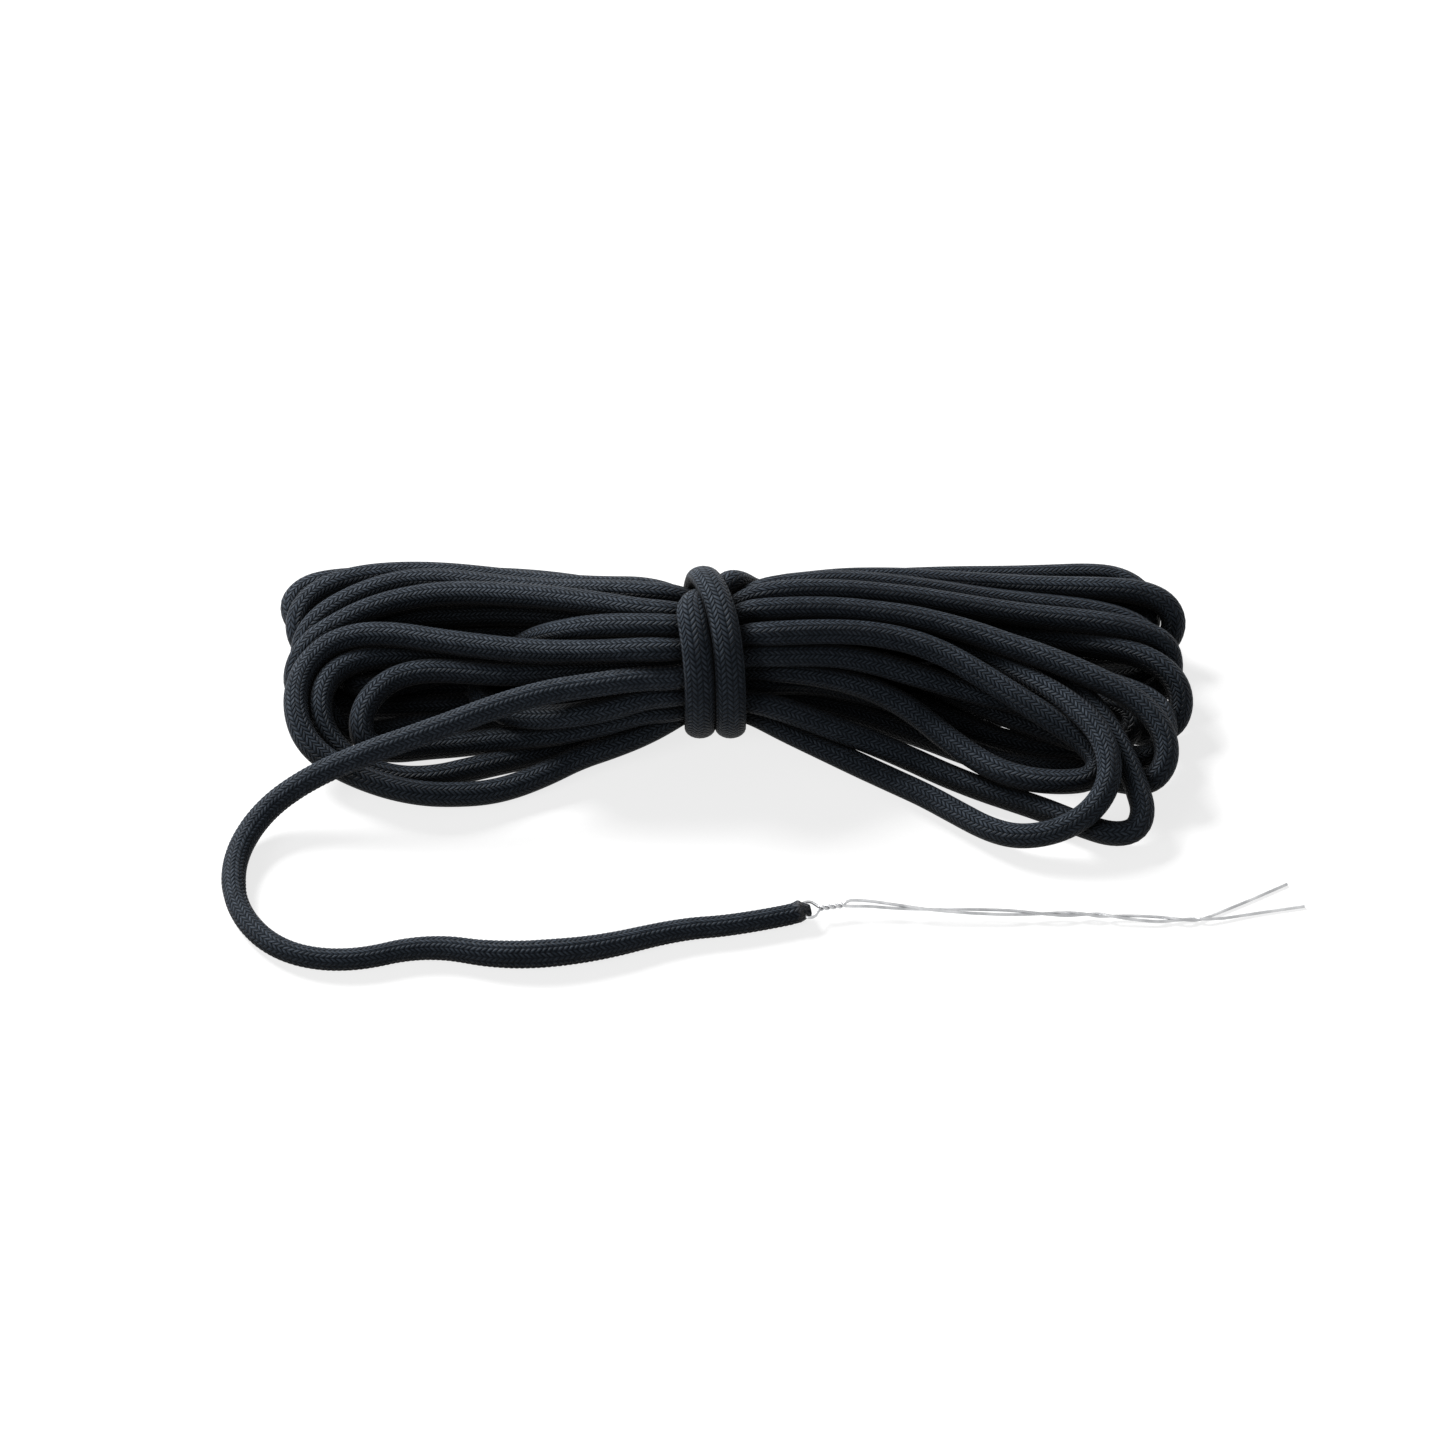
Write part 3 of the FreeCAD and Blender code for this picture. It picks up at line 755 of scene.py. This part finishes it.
def makeFusedEnd(start, heading, side, startAlong):
    length = fusedEnd["length"]
    rows = list(np.arange(0, length + 0.01, fusedEnd["ringStep"]))
    shares = [1.0] * len(rows)
    for distance, share in fusedEnd["rim"]:
        rows.append(distance)
        shares.append(share)
    rows, shares = np.array(rows), np.array(shares)
    line = start + rows[:, None] * heading * mm
    along = startAlong + np.minimum(rows, length) * mm
    frames = np.tile(side, (len(rows), 1)), np.tile(np.cross(heading, side), (len(rows), 1))
    melt = np.clip((rows - fusedEnd["meltFrom"]) / fusedEnd["meltOver"], 0, 1)[:, None]

    def radius(around, distance):
        lump = 0
        for height, lumps, turning, begin in fusedEnd["lumpWaves"]:
            angle = math.tau * lumps * around + turning * rows[:, None] + begin
            lump = lump + height * np.sin(angle)
        depth = freeCord["relief"] * (1 - braidRise(around, distance))
        grooves = depth * (1 - fusedEnd["filled"] * melt)
        return (1 - grooves + fusedEnd["lumps"] * lump * melt) * mm

    def taper(line, rings):
        above, below, wide = [tipWidths(rows, column)[:, None] for column in (1, 2, 3)]
        spread = np.linalg.norm(rings, axis=2)
        rise = rings[:, :, 2] / spread
        flat = wide * np.sqrt(1 - rise ** 2)
        halfWidth = np.hypot(flat, np.where(rise > 0, above, below) * rise) * mm
        return rings * ((halfWidth + spread - mm) / spread * shares[:, None])[:, :, None]

    piece = cordMesh("fused_end", line, along, freeCord["sides"], radius, taper, frames)
    share = piece.data.attributes.new("melted", "FLOAT", "POINT")
    values = np.concatenate([np.repeat(melt[:, 0], freeCord["sides"]), [0, 1]])
    share.data.foreach_set("value", values)
    return piece


# Materials from parts: a value for a node's socket is a number, a colour or another socket

def feed(tree, node, inputs):
    for socket, value in inputs.items():
        if isinstance(value, bpy.types.NodeSocket):
            tree.links.new(value, node.inputs[socket])
        else:
            node.inputs[socket].default_value = value


def addNode(tree, kind, inputs, **settings):
    node = tree.nodes.new("ShaderNode" + kind)
    for name, value in settings.items():
        setattr(node, name, value)
    feed(tree, node, inputs)
    return node


def calc(tree, operation, *values):
    return addNode(tree, "Math", dict(enumerate(values)), operation=operation).outputs[0]


def colourRamp(tree, value, stops):
    ramp = addNode(tree, "ValToRGB", {"Fac": value})
    ends = ramp.color_ramp.elements
    for element, (place, colour) in ((ends[0], stops[0]), (ends[1], stops[-1])):
        element.position, element.color = place, colour
    for place, colour in stops[1:-1]:
        ends.new(place).color = colour
    return ramp.outputs["Color"]


def newMaterial(name, plain):
    material = bpy.data.materials.new(name)
    material.use_nodes = True
    tree = material.node_tree
    shader = tree.nodes["Principled BSDF"]
    feed(tree, shader, plain)
    return material, tree, shader


def noisePlaces(tree, scale, detail):
    place = addNode(tree, "NewGeometry", {}).outputs["Position"]
    inputs = {"Vector": place, "Scale": scale, "Detail": detail}
    return addNode(tree, "TexNoise", inputs).outputs["Fac"]


def bumpFrom(tree, height, depth, **settings):
    bump = addNode(tree, "Bump", {"Height": height, "Distance": depth * mm}, **settings)
    return bump.outputs["Normal"]


# The braid's finish

cordFinish = {
    # painted shade: the braid's colour is darkest in the grooves between stitches and lightest on
    # their crowns, by the stitch's height
    "paintedGrooveShade": (0.0018, 0.0027, 0.0042, 1),
    "side": (0.0112, 0.016, 0.0228, 1),
    "crown": (0.042, 0.053, 0.069, 1),
    "grooveTo": 0.1,     # heights of a stitch at which these colours are full
    "sideAt": 0.55,
    "crownFrom": 0.95,
    "stitchPower": 3,    # a higher power gives a flatter stitch with steeper edges
    # share of its height that a stitch loses at its column's edges, which shapes the bump and
    # darkens the colour there as painted shade
    "edgeShade": 0.5,
    "toneSpread": 0.3,   # share of the tone that differs from stitch to stitch
    "specular": 0.07,
    "roughness": 0.55,
    "sheen": 0.03,
    "looseSheen": 0.12,  # the free cord's fuzz stands out more
    "sheenRoughness": 0.35,
    "sheenTint": (1.0, 0.93, 0.9, 1),
    "hankBump": 0.3,
    "looseBump": 0.1,    # less, since the free cord's own mesh has the braid's relief
    # painted shade between the turns: an occlusion lookup darkens the colour where little light
    # gets in. Its reach, openness at which it is deepest and none
    "paintedShadeReach": 20.0,
    "paintedShadeOpenness": (0.36, 0.85),
    "paintedShadeSamples": 6,
    # share of the colour that the painted shade leaves where it is deepest
    "deepest": 0.1,
}


def braidPattern():
    group = bpy.data.node_groups.new("Braid stitches", "ShaderNodeTree")
    sockets = [("Cord UV", "INPUT", "NodeSocketVector")]
    sockets += [(name, "INPUT", "NodeSocketFloat") for name in ("Columns", "Pitch", "Slant")]
    sockets += [(name, "OUTPUT", "NodeSocketFloat") for name in ("Height", "Tone")]
    for name, side, kind in sockets:
        group.interface.new_socket(name, in_out=side, socket_type=kind)
    given = group.nodes.new("NodeGroupInput").outputs

    def work(operation, *values):
        return calc(group, operation, *values)

    split = addNode(group, "SeparateXYZ", {0: given["Cord UV"]}).outputs
    column = work("MULTIPLY", split["X"], given["Columns"])
    whole = work("FLOOR", column)
    inside = work("SUBTRACT", work("FRACT", column), 0.5)
    way = work("SUBTRACT", 1, work("MULTIPLY", work("MODULO", whole, 2), 2))
    slope = work("MULTIPLY", given["Slant"], 2)
    climb = work("MULTIPLY", work("MULTIPLY", way, inside), slope)
    stitch = work("ADD", work("DIVIDE", split["Y"], given["Pitch"]), climb)
    fromCrown = work("SUBTRACT", work("MULTIPLY", work("FRACT", stitch), 2), 1)
    lengthwise = work("POWER", work("ABSOLUTE", fromCrown), cordFinish["stitchPower"])
    fromMiddle = work("ABSOLUTE", work("MULTIPLY", inside, 2))
    crosswise = work("POWER", fromMiddle, cordFinish["stitchPower"])
    ridge = work("SUBTRACT", 1, work("MULTIPLY", crosswise, cordFinish["edgeShade"]))
    height = work("MULTIPLY", work("SUBTRACT", 1, lengthwise), ridge)
    join = addNode(group, "CombineXYZ", {0: whole, 1: work("FLOOR", stitch)}).outputs[0]
    speckle = addNode(group, "TexWhiteNoise", {"Vector": join}, noise_dimensions="3D")
    result = group.nodes.new("NodeGroupOutput")
    feed(group, result, {"Height": height, "Tone": speckle.outputs["Value"]})
    return group


def braidedCord(name, group, bumpDepth, sheen):
    material, tree, shader = newMaterial(name, {
        "Roughness": cordFinish["roughness"],
        "Specular IOR Level": cordFinish["specular"],
        "Sheen Weight": sheen,
        "Sheen Roughness": cordFinish["sheenRoughness"],
        "Sheen Tint": cordFinish["sheenTint"],
    })
    pattern = addNode(tree, "Group", {
        "Cord UV": addNode(tree, "UVMap", {}, uv_map="Braid").outputs["UV"],
        "Columns": cordSize["columns"],
        "Pitch": cordSize["pitch"] * mm,
        "Slant": cordSize["slant"],
    }, node_tree=group).outputs
    spread = cordFinish["toneSpread"]
    tone = calc(tree, "MULTIPLY_ADD", pattern["Tone"], spread, 1 - spread)
    level = calc(tree, "MULTIPLY", pattern["Height"], tone)
    # painted shade: the colour follows the stitch's height, darkest in the grooves and lightest on
    # the crowns
    colour = colourRamp(tree, level, [
        (cordFinish["grooveTo"], cordFinish["paintedGrooveShade"]),
        (cordFinish["sideAt"], cordFinish["side"]),
        (cordFinish["crownFrom"], cordFinish["crown"]),
    ])
    # painted shade: the occlusion lookup darkens the braid's colour between the turns and in other
    # hollows
    reach = {"Distance": cordFinish["paintedShadeReach"] * mm}
    paintedShadeLookup = addNode(tree, "AmbientOcclusion", reach, samples=cordFinish["paintedShadeSamples"])
    depth = addNode(tree, "MapRange", {
        "Value": paintedShadeLookup.outputs["AO"],
        "From Min": cordFinish["paintedShadeOpenness"][0],
        "From Max": cordFinish["paintedShadeOpenness"][1],
        "To Min": cordFinish["deepest"],
    })
    shade = {0: colour, "Scale": depth.outputs["Result"]}
    feed(tree, shader, {
        "Base Color": addNode(tree, "VectorMath", shade, operation="SCALE").outputs[0],
        "Normal": bumpFrom(tree, pattern["Height"], bumpDepth),
    })
    return material


# The fused end's finish: the braid, with melted patches that are smoother and greyer

fusedFinish = {
    "melted": (0.095, 0.095, 0.1, 1),
    "meltedRoughness": 0.38,
    "patchScale": 900,
    "patchDetail": 3,
    "patchEdges": (0.42, 0.62),  # noise at which a patch starts and is full
    "bump": 0.12,
}


def fusedBraid(group):
    sheen = cordFinish["looseSheen"]
    material = braidedCord("Fused braid", group, fusedFinish["bump"], sheen)
    tree = material.node_tree
    shader = tree.nodes["Principled BSDF"]
    here = addNode(tree, "Attribute", {}, attribute_name="melted")
    share = addNode(tree, "MapRange", {
        "Value": noisePlaces(tree, fusedFinish["patchScale"], fusedFinish["patchDetail"]),
        "From Min": fusedFinish["patchEdges"][0],
        "From Max": fusedFinish["patchEdges"][1],
        "To Max": here.outputs["Fac"],
    }).outputs["Result"]
    # the braid's colour, with its painted shade between the turns
    braidWithPaintedShade = shader.inputs["Base Color"].links[0].from_socket
    blend = {"Factor": share, "A": braidWithPaintedShade, "B": fusedFinish["melted"]}
    smooth = addNode(tree, "MapRange", {
        "Value": share,
        "To Min": cordFinish["roughness"],
        "To Max": fusedFinish["meltedRoughness"],
    })
    feed(tree, shader, {
        "Base Color": addNode(tree, "Mix", blend, data_type="RGBA").outputs["Result"],
        "Roughness": smooth.outputs["Result"],
    })
    return material


# The core's finish: the ends of many straight yarns, with painted shade in the gaps between them

coreFinish = {
    "yarn": (0.09, 0.09, 0.095, 1),
    # painted shade in the gaps between the yarn ends: its colour, and the distance from a yarn's
    # middle at which it is full
    "between": (0.01, 0.01, 0.012, 1),
    "gapShadeFrom": 0.8,
    "yarnScale": 3200,
    "bump": 0.08,
    "roughness": 0.7,
    "specular": 0.2,
}


def coreYarns():
    material, tree, shader = newMaterial("Core yarns", {
        "Roughness": coreFinish["roughness"],
        "Specular IOR Level": coreFinish["specular"],
    })
    place = addNode(tree, "NewGeometry", {}).outputs["Position"]
    yarns = addNode(tree, "TexVoronoi", {"Vector": place, "Scale": coreFinish["yarnScale"]})
    fromYarn = yarns.outputs["Distance"]
    # the yarns' colour, with painted shade between them
    stops = [(0, coreFinish["yarn"]), (coreFinish["gapShadeFrom"], coreFinish["between"])]
    feed(tree, shader, {
        "Base Color": colourRamp(tree, fromYarn, stops),
        "Normal": bumpFrom(tree, fromYarn, coreFinish["bump"], invert=True),
    })
    return material


# The wire's finish: fine drawn lines, and dull patches where it was bent by hand

wireFinish = {
    "dull": (0.4, 0.405, 0.415, 1),
    "bright": (0.62, 0.625, 0.635, 1),
    "patchEdges": (0.35, 0.65),
    "patchScale": 260,
    "patchDetail": 4,
    "roughness": (0.22, 0.42),
    "lineScale": 6000,
    "lineDetail": 2,
    "lineDepth": 0.01,
}


def steelWire():
    material, tree, shader = newMaterial("Drawn steel wire", {"Metallic": 1})
    patches = noisePlaces(tree, wireFinish["patchScale"], wireFinish["patchDetail"])
    first, last = wireFinish["patchEdges"]
    stops = [(first, wireFinish["dull"]), (last, wireFinish["bright"])]
    smoothest, roughest = wireFinish["roughness"]
    rough = {"Value": patches, "To Min": smoothest, "To Max": roughest}
    lines = noisePlaces(tree, wireFinish["lineScale"], wireFinish["lineDetail"])
    feed(tree, shader, {
        "Base Color": colourRamp(tree, patches, stops),
        "Roughness": addNode(tree, "MapRange", rough).outputs["Result"],
        "Normal": bumpFrom(tree, lines, wireFinish["lineDepth"]),
    })
    return material


# Floor, light and camera

stage = {
    "floorHalf": 14.0,  # metres, as are the lamps' places and sizes
    "floorTone": 0.34,
    "floorLift": 0.78,  # white that is added where the camera looks at the floor
    "skyLight": 0.095,
    # place, size, watts
    "key": ((-1.15, 1.35, 1.3), (0.9, 0.7), 92),
    "fill": ((-1.5, -1.2, 1.0), (0.9, 0.8), 11),
    "lampTarget": (0, 0, 0.01),
}


def makeCamera():
    data = bpy.data.cameras.new("Camera")
    width = photoView["pixels"] * photoView["mmPerPixel"]
    data.sensor_width = photoView["sensor"]
    data.lens = data.sensor_width * photoView["distance"] / width
    data.clip_start = photoView["nearest"]
    data.clip_end = photoView["farthest"]
    camera = bpy.data.objects.new("Camera", data)
    bpy.context.collection.objects.link(camera)
    back, up, eye = photoAxes()
    camera.location = Vector(eye * mm)
    camera.rotation_euler = Vector(back).to_track_quat("Z", "Y").to_euler()
    bpy.context.scene.camera = camera


def makeLamp(name, place, size, power):
    data = bpy.data.lights.new(name, "AREA")
    data.shape = "RECTANGLE"
    data.size, data.size_y = size
    data.energy = power
    lamp = bpy.data.objects.new(name, data)
    bpy.context.collection.objects.link(lamp)
    lamp.location = place
    away = Vector(place) - Vector(stage["lampTarget"])
    lamp.rotation_euler = away.to_track_quat("Z", "Y").to_euler()


def cameraWhite(tree):
    # 1 where a picture, a mirror or glass looks straight at a surface
    ray = addNode(tree, "LightPath", {}).outputs
    seen = ray["Is Camera Ray"]
    for name in ("Is Glossy Ray", "Is Transmission Ray"):
        seen = calc(tree, "MAXIMUM", seen, ray[name])
    return seen


def makeFloor():
    half, tone = stage["floorHalf"], stage["floorTone"]
    corners = [(-half, -half, 0), (half, -half, 0), (half, half, 0), (-half, half, 0)]
    mesh = bpy.data.meshes.new("Floor")
    mesh.from_pydata(corners, [], [(0, 1, 2, 3)])
    floor = bpy.data.objects.new("Floor", mesh)
    bpy.context.collection.objects.link(floor)
    material, tree, shader = newMaterial("Pale floor", {
        "Base Color": (tone, tone, tone, 1),
        "Roughness": 1.0,
        "Specular IOR Level": 0.0,
        "Emission Color": (1, 1, 1, 1),
    })
    lift = calc(tree, "MULTIPLY", cameraWhite(tree), stage["floorLift"])
    feed(tree, shader, {"Emission Strength": lift})
    floor.data.materials.append(material)


def makeSky():
    world = bpy.data.worlds.new("Studio")
    bpy.context.scene.world = world
    world.use_nodes = True
    tree, sky = world.node_tree, stage["skyLight"]
    level = calc(tree, "MULTIPLY_ADD", cameraWhite(tree), 1 - sky, sky)
    feed(tree, tree.nodes["Background"], {"Color": (1, 1, 1, 1), "Strength": level})
    bpy.context.scene.view_settings.view_transform = "Standard"


# Assembly

leadPoints = [np.array(point) for point in freeCord["overHank"] + freeCord["toTable"]]
hankPoints, hankFree, join = windHank(leadPoints[0])
intoTie = gathered(leadPoints[0], waist["leftEdge"], waist["edgeBundle"])
leadPoints = np.array([join, intoTie] + leadPoints)
leadFree = np.zeros(len(leadPoints))
leadFree[1:2 + len(freeCord["overHank"])] = 1
print("hank wound, %d points" % len(hankPoints))
hankPoints, leadPoints = settle(hankPoints, hankFree, leadPoints, leadFree)

stitches = braidPattern()
cordMaterial = braidedCord(
    "Black braid", stitches, cordFinish["hankBump"], cordFinish["sheen"]
)
leadMaterial = braidedCord(
    "Black braid of the free cord", stitches, cordFinish["looseBump"], cordFinish["looseSheen"]
)
fusedMaterial = fusedBraid(stitches)
print("braid finishes made")

hankRoute = routeCurve("HankRoute", hankPoints)
hankLine, hankAlong = evenly(hankRoute, hankCord["ringStep"] * mm)
hank = cordMesh("hank_cord", hankLine, hankAlong, hankCord["sides"], plainRadius, pressedWraps)
hank.data.materials.append(cordMaterial)
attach(hank, "cord")
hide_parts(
    "hank_left_lobe",
    "hank_waist",
    "hank_right_lobe",
    "tie_wrap_left",
    "tie_wrap_right",
    "tucked_end",
)
print("hank cord %.3f m" % hankAlong[-1])

leadLine, leadAlong = evenly(routeCurve("LeadRoute", leadPoints), freeCord["ringStep"] * mm)
leadShare = freeCordWidth(leadLine)
leadLine[:, 2] += (leadShare - 1) * cordSize["diameter"] / 2 * mm  # it lies on the table
leadFrames = carriedFrames(leadLine)
leadRadius = slackRadius(leadAlong, leadShare)
lead = cordMesh(
    "free_cord", leadLine, leadAlong, freeCord["sides"], leadRadius, frames=leadFrames
)
lead.data.materials.append(leadMaterial)
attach(lead, "cord")
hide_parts("lead_cord")
print("free cord %.3f m" % leadAlong[-1])

tipHeading = leadLine[-1] - leadLine[-2]
tipHeading /= np.linalg.norm(tipHeading)
fused = makeFusedEnd(leadLine[-1], tipHeading, leadFrames[0][-1], leadAlong[-1])
fused.data.materials.append(fusedMaterial)
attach(fused, "cord")
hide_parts("tip_sheath")
print("fused end made")

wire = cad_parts["threading_wire"]
wire.data.materials.clear()
wire.data.materials.append(steelWire())
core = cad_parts["tip_core"]
core.data.materials.clear()
core.data.materials.append(coreYarns())
print("wire and core finished")

print("cords told to the frame")

makeFloor()
makeSky()
makeLamp("Key", *stage["key"])
makeLamp("Fill", *stage["fill"])
makeCamera()
print("floor, light and camera set")
